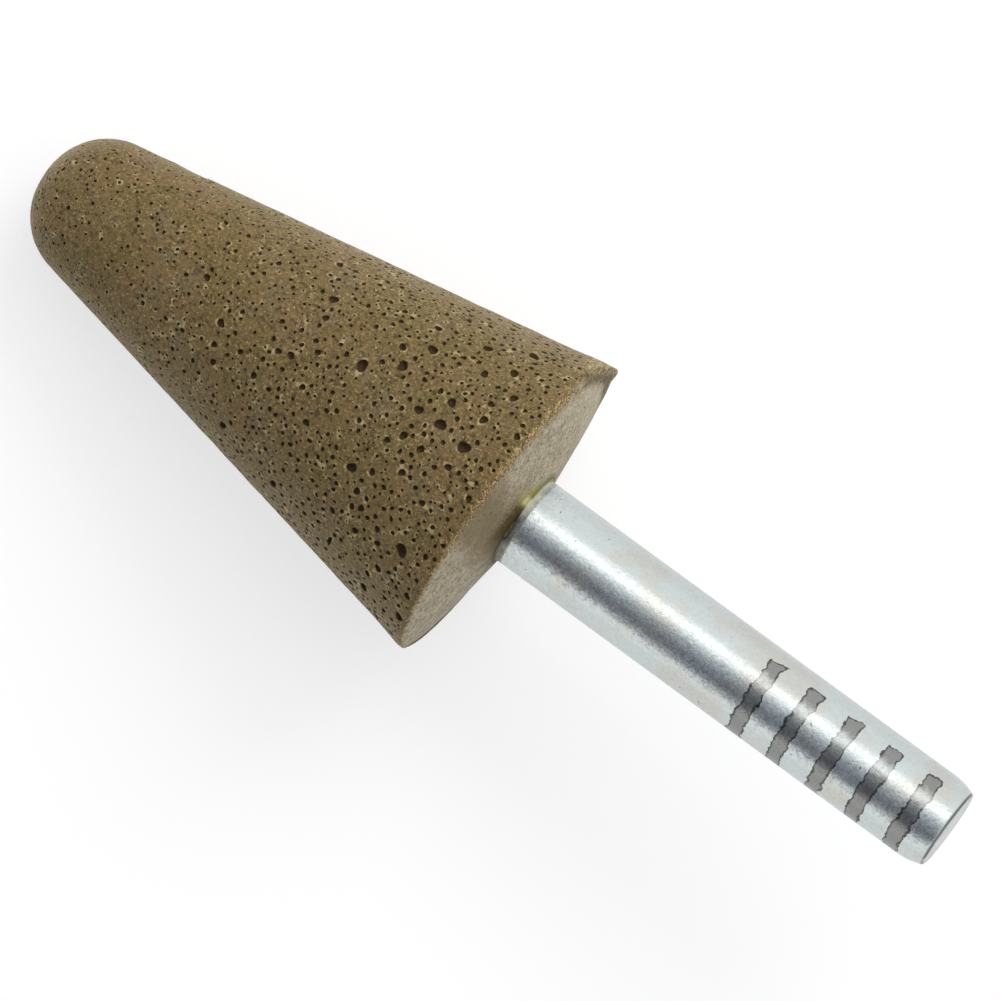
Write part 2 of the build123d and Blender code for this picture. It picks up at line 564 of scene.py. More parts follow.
# %% Make helpers for uneven surfaces
def bump_at(values, centre, half_width):
    """A smooth bump from 0 to 1 over values that are near its centre, in degrees of a turn."""
    gap = np.abs((values - centre + 180) % 360 - 180) / half_width
    return np.where(gap < 1, (1 - np.minimum(gap, 1) ** 2) ** 2, 0)


def noise_at(places, size, offset=0.0):
    """Smooth noise from 0 to 1 with hills of about the given size."""
    shift = Vector((offset, offset, offset))
    return np.array([0.5 + 0.5 * noise.noise(Vector(p) / size + shift) for p in places])


print(f"a bump is {bump_at(np.array([5.0]), 0, 10)[0]:.2f} high half way out")

# %% Let the surface undulate
swell_depth = 0.045 * mm
swell_size = 1.3 * mm
ripple_depth = 0.022 * mm
ripple_size = 0.38 * mm
base_calm = 0.45


def undulation(distance, places):
    """How far the swells and ripples reach down. They are calmer on the base face."""
    swells = swell_depth * noise_at(places, swell_size)
    depth = swells + ripple_depth * noise_at(places, ripple_size, offset=7.0)
    return np.where(distance > 0, depth * base_calm, depth)


print(f"the skin undulates by {(swell_depth + ripple_depth) / mm:.3f} mm at most")

# %% Crumble the rim
rim_worn = 0.09 * mm
crumble_depth = 0.13 * mm
crumble_width = 0.45 * mm
crumble_size = 0.9 * mm
crumble_contrast = 3
crumble_cut = 1.5
# angle from the top in degrees, half width in degrees, depth in mm
rim_chips = [(155, 5.0, 0.10), (-160, 6.0, 0.12)]
# angle and half width in degrees, and the share of the wear that is missing where the rim is sharp
kept_angle, kept_half_width, kept_share = (-91, 16.0, 0.75)


def nearness_to_rim(distance):
    """From 0 away from the rim to 1 on it."""
    return np.clip(1 - np.abs(distance) / crumble_width, 0, 1)


def rim_wear(distance, degrees, places):
    """How far the rim is rounded, crumbled and chipped."""
    crumbs = crumble_contrast * noise_at(places, crumble_size, offset=19.0) - crumble_cut
    crumble = crumble_depth * np.clip(crumbs, 0, 1)
    for centre, half_width, chip_depth in rim_chips:
        crumble = np.maximum(crumble, chip_depth * mm * bump_at(degrees, centre, half_width))
    kept = kept_share * bump_at(degrees, kept_angle, kept_half_width)
    return nearness_to_rim(distance) * (rim_worn + crumble) * (1 - kept)


print(f"the rim is worn by up to {(rim_worn + crumble_depth) / mm:.2f} mm")

# %% Wear one side of the base and dent the nose
# angle and half width in degrees, depth in mm
sag_angle, sag_half_width, sag_depth = (-125, 60, 0.23)
# distance back from the rim in mm, angle in degrees, radius and depth of the hollow in mm
skin_dents = [
    (38.9, -12, 0.45, 0.14),
    (38.7, -95, 0.90, 0.12),
    (36.6, -140, 0.60, 0.08),
    (29.0, 84, 1.2, 0.06),
]
dent_steepness = 2.5


def base_wear(distance, degrees):
    """How far the base face is worn lower on its one side."""
    sag = sag_depth * mm * bump_at(degrees, sag_angle, sag_half_width)
    return sag * np.where(distance > 0, 1 - distance / base_width, nearness_to_rim(distance))


def dent(places, back, turn, radius, depth):
    """How deep one hollow of the skin is at each place."""
    centre = on_head(-back * mm, radians(turn), 0)
    gap = np.linalg.norm(places - centre, axis=1) / (radius * mm)
    return depth * mm * np.clip(dent_steepness * (1 - gap**2), 0, 1)


print(f"{len(skin_dents)} dents, the base worn by up to {sag_depth} mm")

# %% Let the flash stand out
# angle and half width in degrees, height in mm
rim_flash = [(92, 24.0, 0.50), (112, 18.0, 0.12)]
flash_middle = 0.10 * mm
flash_reach = 0.95 * mm
flash_rounding = 0.03 * mm
flash_spread = 1.5


def flash_height(distance, angle):
    """How far the flash on the rim stands out along the axis."""
    degrees = np.degrees(angle)
    heights = [
        height * mm * bump_at(degrees, turn, half_width) for turn, half_width, height in rim_flash
    ]
    near_middle = np.clip(1 - ((distance - flash_middle) / flash_reach) ** 2, 0, 1) ** 2
    return np.max(heights, axis=0) * near_middle


print(f"the flash is {rim_flash[0][2]} mm high")

# %% Put the points back on the head
mouth_calm = 0.4 * mm


def worn_depth(distance, angle):
    """How far each place lies below the smooth form of the head."""
    places = on_head(distance, angle, 0)
    degrees = np.degrees(angle)
    depth = undulation(distance, places) + rim_wear(distance, degrees, places)
    depth = depth + base_wear(distance, degrees)
    for hollow in skin_dents:
        depth = depth + dent(places, *hollow)
    calm = np.clip((base_width - distance) / mouth_calm, 0, 1)
    full_height = rim_flash[0][2] * mm
    flash = np.minimum(flash_spread * flash_height(distance, angle) / full_height, 1)
    return depth * calm * (1 - flash) + nearness_to_rim(distance) * flash * flash_rounding


distance, angle = from_disc(seat)
places = on_head(distance, angle, pore_depth + worn_depth(distance, angle))
places += np.outer(flash_height(distance, angle), np.array(axis))
print(f"the deepest pore is {pore_depth.max() / mm:.2f} mm deep")


# %% Make helpers for meshes
def mesh_object(name, places, faces):
    """A smooth-shaded mesh object from places and faces."""
    mesh = bpy.data.meshes.new(name)
    mesh.from_pydata(places.tolist(), [], faces)
    mesh.shade_smooth()
    piece = bpy.data.objects.new(name, mesh)
    bpy.context.scene.collection.objects.link(piece)
    return piece


def joined_rings(ring, other):
    """Faces between two rings, which are given by the numbers of their points."""
    return np.column_stack((ring, other, np.roll(other, -1), np.roll(ring, -1))).tolist()


def point_values(piece, name, values):
    """Store one number for each vertex, for the material to read."""
    layer = piece.data.attributes.new(name, "FLOAT", "POINT")
    layer.data.foreach_set("value", np.asarray(values, dtype=np.float32))


print("mesh helpers ready")

# %% Line the bore and close the head
bore_floor = 16.0 * mm
bore_rows = 6

turns = np.arange(bore_corners) * tau / bore_corners
bore_places = [
    on_tool(along, bore_radius, turns)
    for along in np.linspace(mouth_place, bore_floor, bore_rows + 1)[1:]
]
all_places = np.vstack([places, *bore_places, on_tool(bore_floor, 0, 0)[None]])
faces = triangles.tolist()
ring = bore_mouth + np.arange(bore_corners)
for row in range(bore_rows):
    deeper = cloud.count + row * bore_corners + np.arange(bore_corners)
    faces += joined_rings(ring, deeper)
    ring = deeper
faces += [(a, len(all_places) - 1, b) for a, b in zip(ring.tolist(), np.roll(ring, -1).tolist())]
head = mesh_object("abrasive_head_porous", all_places, faces)
print(f"head mesh: {len(head.data.vertices)} vertices, {len(head.data.polygons)} faces")

# %% Tell the head where its pores are
extra = (0, len(all_places) - cloud.count)
mouth = np.pad(mouth, extra)
point_values(head, "inside_pore", np.pad(inside, extra))
point_values(head, "pore_lip", np.pad(lip, extra))
point_values(head, "from_rim", np.pad(distance / mm, extra, constant_values=base_width / mm))
ends = np.empty(len(head.data.edges) * 2, dtype=np.int32)
head.data.edges.foreach_get("vertices", ends)
first, second = ends.reshape(-1, 2).T
sharp = head.data.attributes.new("sharp_edge", "BOOLEAN", "EDGE")
sharp.data.foreach_set("value", (mouth[first] > 0) & (mouth[first] == mouth[second]))
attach(head, body)
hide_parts("abrasive_head")
head.data.validate(verbose=True)
print(f"{int(inside.sum())} points lie inside pores")

# %% [markdown]
# Turned pieces by rings
#
# The shank and the cement are round as well, but have no pores. Rings of points, one after the
# other along the axis, make them: a ring can change its radius from angle to angle, which gives the
# knurl on the hidden end of the shank and the uneven bead of the cement. A screw modifier would only
# turn one outline.

# %% Make a tool for turned pieces
ring_corners = 192
ring_angles = np.arange(ring_corners) * tau / ring_corners


def turned_piece(name, rings):
    """A closed mesh through rings given as distance along the axis and radius, from its first end."""
    bands = [on_tool(along, radius, ring_angles) for along, radius in rings]
    ends = [on_tool(np.mean(along), 0, 0) for along, _ in (rings[0], rings[-1])]
    numbers = np.arange(len(rings) * ring_corners).reshape(len(rings), ring_corners)
    faces = []
    for near, far in zip(numbers, numbers[1:]):
        faces += joined_rings(near, far)
    first_centre, last_centre = numbers.size, numbers.size + 1
    first_ring, last_ring = numbers[0].tolist(), numbers[-1].tolist()
    faces += [(first_centre, a, b) for a, b in zip(first_ring, first_ring[1:] + first_ring[:1])]
    faces += [(last_centre, b, a) for a, b in zip(last_ring, last_ring[1:] + last_ring[:1])]
    return mesh_object(name, np.vstack([*bands, *ends]), faces)


print(f"{ring_corners} corners to a ring")

# %% Turn the shank
tang_radius = 2.8 * mm
shoulder_place = mouth_place + 0.04 * mm
end_round_length = 1.75 * mm
end_round_drop = 0.36 * mm
knurl_length = 12.0 * mm
knurl_depth = 0.25 * mm
knurl_grooves = 12
barrel_rows = 60
end_rows = 9
end_chamfer = 0.10 * mm
chamfer_back, chamfer_out = 0.3, 0.55
end_face_share = 0.6

groove_pitch = tau / knurl_grooves
groove_offset = np.abs((ring_angles + groove_pitch / 2) % groove_pitch - groove_pitch / 2)
knurl_radius = tang_radius - np.maximum(knurl_depth - groove_offset * tang_radius, 0)
knurl_end = shank_start + knurl_length
end_arc_radius = (end_round_length**2 + end_round_drop**2) / (2 * end_round_drop)
round_start = shank_end - end_round_length


def rounded_end(along):
    """Radius of the shank's rounded end at a distance along the tool."""
    reach = along - round_start
    return shank_radius - end_arc_radius + sqrt(end_arc_radius**2 - reach**2)


barrel = np.linspace(shoulder_place, round_start, barrel_rows)[1:]
end_round = np.linspace(round_start, shank_end - end_chamfer, end_rows)[1:]
face_radius = rounded_end(shank_end) - end_chamfer
shank_rings = [(shank_start, knurl_radius), (knurl_end, knurl_radius), (knurl_end, tang_radius)]
shank_rings += [(shoulder_place, tang_radius), (shoulder_place, shank_radius)]
shank_rings += [(along, shank_radius) for along in barrel]
shank_rings += [(along, rounded_end(along)) for along in end_round]
shank_rings += [
    (shank_end - chamfer_back * end_chamfer, face_radius + chamfer_out * end_chamfer),
    (shank_end, face_radius),
    (shank_end, end_face_share * face_radius),
]
shank = turned_piece("shank_zinc_plated", shank_rings)
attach(shank, body)
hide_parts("shank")
print(f"shank mesh: {len(shank.data.polygons)} faces")

# %% Shape the uneven bead of the cement
bead_width = 0.22 * mm
bead_lump_size = 0.55
bead_least_reach = 0.35
bead_creep_height = 0.05 * mm
bead_skin = 0.01 * mm
face_slope = (mouth_place - head_length) / (rim_radius - bore_radius)


def bead_noise(offset):
    """Smooth noise round the bead, from 0 to 1, that closes on itself."""
    height = np.full(ring_corners, offset)
    circle = np.column_stack((np.cos(ring_angles), np.sin(ring_angles), height))
    return noise_at(circle, bead_lump_size)


bead_cover = shank_radius + bead_width - bore_radius
bead_share = bead_least_reach + (1 - bead_least_reach) * bead_noise(3.0)
bead_reach = bore_radius + bead_cover * bead_share
bead_toe = mouth_place - face_slope * (bead_reach - bore_radius)
bead_rise = shoulder_place - bead_toe
bead_creep = bead_creep_height * bead_noise(9.0)
print(f"the bead is {np.ptp(bead_reach) / mm:.3f} mm uneven")

# %% Turn the cement
# shares of the bead's rise and of its reach beyond the shank, from its toe to its top
bead_profile = [(0.35, 0.50), (0.75, 0.15)]
cement_rings = [(bore_floor, bore_radius), (mouth_place, bore_radius), (bead_toe, bead_reach)]
cement_rings += [
    (bead_toe + rise * bead_rise, shank_radius + reach * (bead_reach - shank_radius))
    for rise, reach in bead_profile
]
cement_rings += [
    (shoulder_place + bead_creep, shank_radius + bead_skin),
    (shoulder_place, shank_radius),
    (shoulder_place, tang_radius),
    (knurl_end, tang_radius),
    (knurl_end, knurl_radius),
    (shank_start, knurl_radius),
]
cement = turned_piece("cement_bead", cement_rings)
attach(cement, body)
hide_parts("cement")
print(f"cement mesh: {len(cement.data.polygons)} faces")

# %% [markdown]
# Helpers for the materials
#
# Every finish here is a network of nodes, which could be drawn by hand in the shader editor.
# Written out node by node it would take many lines, so a small class adds a node with its inputs in
# one call. Its verbs read like a recipe: noise gives patches, between turns a number into a share
# from 0 to 1, and coats lay colours over a look where such a share is high.


# %% Make helpers for nodes
class Finish:
    """A material with short calls for its nodes."""

    def __init__(self, name):
        self.material = bpy.data.materials.new(name)
        self.material.use_nodes = True
        self.tree = self.material.node_tree
        self.shader = self.tree.nodes["Principled BSDF"]

    def feed(self, socket, value):
        """Give a socket a value, or link another socket to it."""
        if isinstance(value, bpy.types.NodeSocket):
            self.tree.links.new(value, socket)
        else:
            socket.default_value = value

    def node(self, kind, settings=None, **inputs):
        """Add a node, change its settings, and feed its inputs by name or by number, as n0 or n1."""
        made = self.tree.nodes.new("ShaderNode" + kind)
        for key, value in (settings or {}).items():
            setattr(made, key, value)
        for key, value in inputs.items():
            numbered = key[0] == "n" and key[1:].isdigit()
            self.feed(made.inputs[int(key[1:]) if numbered else key], value)
        return made

    def shade(self, **values):
        """Feed inputs of the surface itself, named with _ for each blank."""
        for name, value in values.items():
            self.feed(self.shader.inputs[name.replace("_", " ")], value)

    def roughen(self, height, strength, depth):
        """Bend the light on the surface as if it had this height."""
        made = self.node("Bump", Height=height, Strength=strength, Distance=depth)
        self.shade(Normal=made.outputs["Normal"])

    def vector(self, operation, **inputs):
        """One step of arithmetic with places."""
        return self.node("VectorMath", {"operation": operation}, **inputs)

    def coordinates(self):
        """The object's own coordinates, in millimetres."""
        place = self.node("TexCoord").outputs["Object"]
        return self.vector("SCALE", Vector=place, Scale=1 / mm).outputs[0]

    def toward(self, place, direction):
        """How far a place lies in a direction."""
        return self.vector("DOT_PRODUCT", n0=place, n1=tuple(direction)).outputs["Value"]

    def noise(self, place, scale, detail=2.0, roughness=0.5, offset=0.0):
        """Noise round 0.5 with hills of about 1 / scale millimetres."""
        if offset:
            place = self.vector("ADD", n0=place, n1=(offset, offset, offset)).outputs[0]
        made = self.node("TexNoise", Vector=place, Scale=scale, Detail=detail, Roughness=roughness)
        return made.outputs["Fac"]

    def stored(self, name):
        """A number that the mesh stores for each vertex."""
        return self.node("Attribute", {"attribute_name": name}).outputs["Fac"]

    def math(self, operation, first, *others):
        """One kind of arithmetic, with one number after the other."""
        for other in others:
            first = self.node("Math", {"operation": operation}, n0=first, n1=other).outputs[0]
        return first

    def plus(self, *numbers):
        """A sum."""
        return self.math("ADD", *numbers)

    def minus(self, *numbers):
        """A difference."""
        return self.math("SUBTRACT", *numbers)

    def times(self, *numbers):
        """A product. Of shares it is high only where all of them are."""
        return self.math("MULTIPLY", *numbers)

    def gap(self, value, centre):
        """How far a number lies from a centre, on either side."""
        return self.math("ABSOLUTE", self.minus(value, centre), 0.0)

    def between(self, value, low, high, smooth=True):
        """A share from 0 to 1 as the value goes from low to high."""
        settings = {"interpolation_type": "SMOOTHSTEP" if smooth else "LINEAR"}
        return self.node("MapRange", settings, n0=value, n1=low, n2=high).outputs["Result"]

    def blend(self, share, first, second):
        """Mix two colours by a share."""
        settings = {"data_type": "RGBA", "clamp_factor": True}
        return self.node("Mix", settings, n0=share, n6=first, n7=second).outputs[2]

    def coats(self, look, *coats):
        """Lay coats over a look. Each is a colour, a value, its low and high, and shares of strength."""
        for coat, value, low, high, *strength in coats:
            look = self.blend(self.times(self.between(value, low, high), *strength), look, coat)
        return look

    def dress(self, piece):
        """Give the finish to a piece."""
        piece.data.materials.append(self.material)
        print(f"{self.material.name}: {len(self.tree.nodes)} nodes")


def colour(red, green, blue):
    """A colour as seen on a screen, from 0 to 255, in the form that Blender's nodes use."""
    shares = [value / 255 for value in (red, green, blue)]
    linear = [s / 12.92 if s <= 0.04045 else ((s + 0.055) / 1.055) ** 2.4 for s in shares]
    return (*linear, 1.0)


print("material helpers ready")

# %% [markdown]
# The look of the abrasive
#
# Up close the skin is a mixture: khaki bond, reddish and olive clouds, pale grains that catch the
# light, and pits that are almost black. A flat colour with bump would look like clay. Noise at three
# scales gives the clouds, the mottle and the grains, and each coat covers the look only where its
# noise is high or low. The mesh itself says where the pits and the rim are, by the numbers stored on
# its vertices.

# %% Mix the skin
khaki = colour(108, 90, 54)
reddish = colour(114, 91, 58)
olive = colour(103, 89, 49)
greyish = colour(109, 94, 65)
dark_bond = colour(62, 49, 29)
pale_bond = colour(146, 126, 86)
pale_grain = colour(198, 180, 134)

abrasive = Finish("porous_abrasive")
place = abrasive.coordinates()
clouds = abrasive.noise(place, 0.32, 3.0, 0.55)
tints = abrasive.noise(place, 0.36, 3.0, 0.55, 31.0)
mottle = abrasive.noise(place, 4.4, 3.0, 0.65)
lumps = abrasive.noise(place, 2.1, 2.0, 0.5, 22.0)
grains = abrasive.noise(place, 8.0, 2.0, 0.6, 57.0)
lit_lips = abrasive.between(abrasive.noise(place, 1.5, 2.0, 0.6, 95.0), 0.52, 0.66)
skin = abrasive.coats(
    khaki,
    (reddish, clouds, 0.46, 0.66),
    (olive, tints, 0.50, 0.68),
    (greyish, tints, 0.46, 0.32),
    (dark_bond, abrasive.plus(mottle, abrasive.times(lumps, 0.5)), 0.76, 0.54, 0.8),
    (pale_bond, mottle, 0.53, 0.70, 0.85),
    (pale_grain, grains, 0.64, 0.74),
    # some lips of the pores catch the light
    (pale_grain, abrasive.stored("pore_lip"), 0.35, 0.95, lit_lips, 0.50),
)
print("skin mixed from", len(abrasive.tree.nodes), "nodes")

# %% Mix the pale base face
base_beige = colour(178, 166, 141)
base_grey = colour(150, 140, 117)
base_dark_mottle = colour(100, 87, 62)
base_pale = colour(202, 190, 160)
base_painted_shade = colour(112, 96, 64)

streaks = abrasive.noise(place, 1.1, 4.0, 0.7, 11.0)
fibres = abrasive.noise(place, 6.0, 3.0, 0.7, 29.0)
blotches = abrasive.noise(place, 0.5, 3.0, 0.6, 63.0)
across = abrasive.node("SeparateXYZ", Vector=place).outputs["Y"]
across_blotched = abrasive.plus(across, abrasive.times(blotches, 3.0))
painted_shade_fades = abrasive.between(across_blotched, -3.4, -1.2)
base_look = abrasive.coats(
    base_grey,
    (base_beige, streaks, 0.40, 0.60),
    (base_dark_mottle, mottle, 0.50, 0.37, 0.8),
    (base_pale, fibres, 0.54, 0.68, 0.9),
    # painted shade: a darker brown band across the middle of the base face
    (base_painted_shade, across_blotched, 3.6, 0.8, painted_shade_fades, 0.8),
    (base_pale, across, 5.2, 7.6, 0.26),
)
print("base face mixed,", len(abrasive.tree.nodes), "nodes")

# %% [markdown]
# The rim between skin and base
#
# Where the skin ends, the mould left a bare line of tan and orange grain that wanders in and out. It
# is too fine for the mesh, so a noise is added to the distance from the rim, and bands are cut from
# the sum. The line is wider towards +Y, which is up in the picture, has gaps, and sinks into the
# skin at the flash, where single pale grains sit on the corner.

# %% Find where the skin ends
from_rim_mm = abrasive.stored("from_rim")
wander = abrasive.times(abrasive.noise(place, 1.7, 4.0, 0.7, 83.0), 1.8)
edge_place = abrasive.plus(from_rim_mm, abrasive.minus(wander, 0.90))
rim_reach = abrasive.plus(abrasive.times(across, 0.06), 0.80)
rim_inner = abrasive.minus(edge_place, rim_reach)
rim_gaps = abrasive.between(abrasive.noise(place, 0.8, 2.0, 0.5, 47.0), 0.30, 0.48)
rim_from_base = abrasive.between(rim_inner, 0.40, -0.40)
corner_share = abrasive.between(abrasive.math("ABSOLUTE", from_rim_mm, 0.0), 0.9, 0.4)
print("rim found,", len(abrasive.tree.nodes), "nodes")

# %% Join skin, rim and base face
rim_tan = colour(140, 117, 72)
rim_orange = colour(130, 99, 62)
rim_dark = colour(70, 51, 28)
rim_glint = colour(204, 180, 130)

rim_look = abrasive.coats(
    rim_orange,
    (rim_tan, abrasive.noise(place, 0.45, 2.0, 0.5, 5.0), 0.36, 0.60),
    (rim_dark, mottle, 0.52, 0.40),
    (rim_glint, grains, 0.52, 0.62),
    # darker towards -Y
    (rim_dark, across, 3.5, -1.0, 0.16),
    (skin, across, 7.8, 9.6),
)
look = abrasive.coats(
    skin,
    (base_look, edge_place, -0.10, 0.35),
    (rim_look, edge_place, -0.42, 0.0, rim_from_base, rim_gaps),
    (pale_grain, across, 9.4, 10.2, corner_share, abrasive.between(grains, 0.50, 0.62)),
)
print("skin, rim and base joined,", len(abrasive.tree.nodes), "nodes")

# %% [markdown]
# The stain round the shank
#
# Cement that was squeezed out has soaked into the base face. It is yellow towards +Y and brown
# towards -Y, and stops raggedly. The brown towards -Y is also painted shadow of the shank, and one
# pale spot next to the shank is a painted highlight of the lamp on the glue. The distance from the
# bore, made uneven by two noises, says how far it has crept.

# %% Stain the base
# brown: real stain, and towards -Y also painted shadow of the shank
stain_brown_painted_shadow = colour(74, 59, 24)
stain_yellow = colour(150, 141, 66)
# painted highlight: the lamp's pale spot on the glue beside the shank
glue_painted_highlight = colour(206, 198, 148)
glint_across = 1.05
glint_edges = (0.50, 0.10)

mouth_gap = abrasive.minus(base_width / mm, from_rim_mm)
stain_noise = abrasive.times(abrasive.noise(place, 0.9, 3.0, 0.6, 71.0), 2.4)
stain_grain = abrasive.times(abrasive.minus(fibres, 0.5), 4.5)
stain_lessens = abrasive.times(abrasive.between(across, 0.2, 2.0), 0.55)
stain_place = abrasive.plus(mouth_gap, abrasive.minus(stain_noise, 1.2), stain_grain, stain_lessens)
stain_side = abrasive.times(
    abrasive.between(across_blotched, -1.6, 0.0), abrasive.between(across, 2.7, 1.9)
)
glint_gap = abrasive.gap(across, glint_across)
stain_look = abrasive.coats(
    stain_brown_painted_shadow,
    (stain_yellow, across, 0.3, 1.1),
    (glue_painted_highlight, glint_gap, *glint_edges, abrasive.between(mouth_gap, 1.3, 0.4)),
)
look = abrasive.coats(look, (stain_look, stain_place, 2.7, 0.9, stain_side))
print("base stained,", len(abrasive.tree.nodes), "nodes")

# %% Paint shade into the pits and roughen the grain
# painted shade: the pits are coloured darker than the bond, besides their real depth
pit = colour(66, 51, 28)

dusty_share = abrasive.between(from_rim_mm, 0.1, -0.5)
abrasive.shade(
    Base_Color=abrasive.coats(look, (pit, abrasive.stored("inside_pore"), 0.05, 0.75)),
    Roughness=0.60,
    Specular_IOR_Level=0.20,
    Sheen_Weight=abrasive.times(dusty_share, 0.55),
    Sheen_Roughness=0.30,
    Sheen_Tint=colour(255, 238, 200),
)
rough_height = abrasive.plus(mottle, abrasive.times(grains, 0.4))
bare_share = abrasive.between(rim_inner, 0.4, -0.1)
rough_share = abrasive.plus(abrasive.times(bare_share, 0.3), 0.7)
abrasive.roughen(abrasive.times(rough_height, rough_share), 1.0, 0.12 * mm)
abrasive.dress(head)

# %% [markdown]
# The look of the plated shank
#
# Bright zinc is a mirror with a faint orange peel. What the eye sees on it is the studio: pale
# walls, one bright lamp and the dark gap beside it. The plating needs only a cool colour, some
# roughness that varies and small dark specks. One side is scuffed, and the scuffs gather where
# the zinc mirrors the grey card, so their dimmer colour there is painted dark reflection. A dull
# film of cement and dirt covers the first half millimetre, so that the shank doesn't mirror the
# base there. Its colours are painted reflection, pale all round and dark on that same side. Near
# the free end are worn grey bars, which fade where the zinc mirrors the long lamp: a painted
# highlight.

# %% Find places on the shank
zinc = Finish("bright_zinc")
place = zinc.coordinates()
rim_plane = float(np.dot(on_tool(head_length, 0, 0), np.array(axis))) / mm
axis_height = float(np.dot(np.array(tip), np.array(up))) / mm
along_shank = zinc.minus(zinc.toward(place, axis), rim_plane)
above_axis = zinc.minus(zinc.toward(place, up), axis_height)
round_place = zinc.math("ARCTAN2", zinc.toward(place, side), above_axis)
print(f"the shank is measured from {rim_plane:.2f} mm on")

# %% Tint and scuff the plating
zinc_cool = colour(213, 221, 220)
zinc_warm = colour(212, 213, 207)
zinc_scuffs_and_painted_dark = colour(150, 150, 156)
# painted dark reflection: the scuffs gather where the zinc mirrors the grey card
scuffs_and_painted_dark_middle = radians(-17)

peel = zinc.noise(place, 4.6, 3.0, 0.65)
warm_patches = zinc.noise(place, 0.35, 2.0, 0.5, 13.0)
metal = zinc.coats(zinc_cool, (zinc_warm, warm_patches, 0.45, 0.65))
scuffs_and_painted_dark_gap = zinc.gap(round_place, scuffs_and_painted_dark_middle)
scuffs_and_painted_dark_side = zinc.between(scuffs_and_painted_dark_gap, radians(26), radians(12))
scuffs = zinc.between(zinc.noise(place, 3.4, 4.0, 0.75, 59.0), 0.46, 0.66)
scuffs_and_painted_dark_strength = zinc.plus(zinc.times(scuffs_and_painted_dark_side, 0.60), 0.12)
metal = zinc.blend(zinc.times(scuffs, scuffs_and_painted_dark_strength), metal, zinc_scuffs_and_painted_dark)
print("plating tinted,", len(zinc.tree.nodes), "nodes")

# %% Dull the start and add specks
# painted reflection: the film is pale all round and dark where the zinc mirrors the card
film_painted_pale = colour(222, 224, 220)
film_painted_dark = colour(104, 98, 88)
speck_brown = colour(120, 114, 104)
# mm from the plane of the rim: where the film begins to thin out, and where it is gone
film_whole_to = 1.60
film_gone_from = 2.15

film_painted_reflection = zinc.blend(scuffs_and_painted_dark_side, film_painted_pale, film_painted_dark)
film_wander = zinc.times(zinc.noise(place, 2.2, 3.0, 0.6, 77.0), 0.5)
film_share = zinc.between(zinc.plus(along_shank, film_wander), film_gone_from, film_whole_to)
metal = zinc.blend(film_share, metal, film_painted_reflection)
metal = zinc.coats(metal, (speck_brown, zinc.noise(place, 2.6, 1.0, 0.5, 41.0), 0.775, 0.80))
print("film and specks added,", len(zinc.tree.nodes), "nodes")

# %% Find the distance from the nearest bar
bar_places = [19.7, 22.7, 25.7, 28.7, 31.7]
bar_half_width = 0.58
print_middle = radians(-42)
print_half_width = radians(88)

ragged_noise = zinc.noise(place, 1.4, 3.0, 0.6, 23.0)
ragged = zinc.node("Math", {"operation": "MULTIPLY_ADD"}, n0=ragged_noise, n1=0.8, n2=-0.4).outputs[0]
bar_along = zinc.plus(along_shank, ragged)
bar_round = zinc.plus(round_place, zinc.times(ragged, 0.4))
beyond_end = zinc.minus(zinc.gap(bar_round, print_middle), print_half_width)
beyond_end = zinc.times(beyond_end, shank_radius / mm)
bar_distance = zinc.math("MINIMUM", *[zinc.gap(bar_along, bar) for bar in bar_places])
bar_distance = zinc.math("MAXIMUM", bar_distance, zinc.plus(beyond_end, bar_half_width))
print(len(bar_places), "bars,", len(zinc.tree.nodes), "nodes")

# %% Colour the bars and fade them where the lamp is mirrored
bar_grey = colour(150, 151, 149)
bar_edge_grey = colour(84, 86, 86)
bar_outline = 0.09
bar_softness = 0.05
core_softness = 0.1
# painted highlight: the bars fade at the angle where the zinc mirrors the long lamp
highlight_middle = radians(13)
highlight_half_width = radians(9)
highlight_edges = (highlight_half_width + 0.35, highlight_half_width + 0.15)

highlight_noise = zinc.times(zinc.noise(place, 2.6, 3.0, 0.65, 67.0), 0.5)
highlight_gap = zinc.plus(zinc.gap(bar_round, highlight_middle), highlight_noise)
faded_by_highlight = zinc.between(highlight_gap, *highlight_edges)
bar_share = zinc.between(bar_distance, bar_half_width, bar_half_width - bar_softness)
bar_share = zinc.times(bar_share, zinc.minus(1.0, zinc.times(faded_by_highlight, 0.5)))
core_edge = bar_half_width - bar_outline
core_share = zinc.between(bar_distance, core_edge, core_edge - core_softness)
metal = zinc.blend(bar_share, metal, zinc.blend(core_share, bar_edge_grey, bar_grey))
print("bars coloured,", len(zinc.tree.nodes), "nodes")

# %% Wear the free end and paint shade along its edge
end_worn_grey = colour(186, 190, 188)
# painted shade: a dark grey line on the rounded end, just short of the chamfer
end_edge_painted_shade = colour(112, 115, 115)

end_place = (shank_end - head_length) / mm
end_patches = zinc.noise(place, 1.1, 3.0, 0.6, 37.0)
worn_patches = zinc.between(end_patches, 0.42, 0.56)
edge_patches = zinc.between(end_patches, 0.36, 0.50)
before_end = zinc.between(along_shank, end_place - 0.01, end_place - 0.03)
metal = zinc.coats(
    metal,
    (end_worn_grey, along_shank, end_place - 0.04, end_place - 0.01, 0.8, worn_patches),
    (end_edge_painted_shade, along_shank, end_place - 0.22, end_place - 0.10, before_end, edge_patches),
)
print("end worn,", len(zinc.tree.nodes), "nodes")

# %% Set how the shank shines
smoothest, dullest = 0.17, 0.33

dullness = zinc.node("MapRange", n0=peel, n1=0.3, n2=0.7, n3=smoothest, n4=dullest).outputs["Result"]
zinc.shade(
    Base_Color=metal,
    Metallic=zinc.minus(1.0, zinc.times(film_share, 0.85)),
    Roughness=zinc.plus(dullness, zinc.times(scuffs, 0.10), zinc.times(film_share, 0.35)),
)
zinc.roughen(peel, 0.45, 0.04 * mm)
zinc.dress(shank)

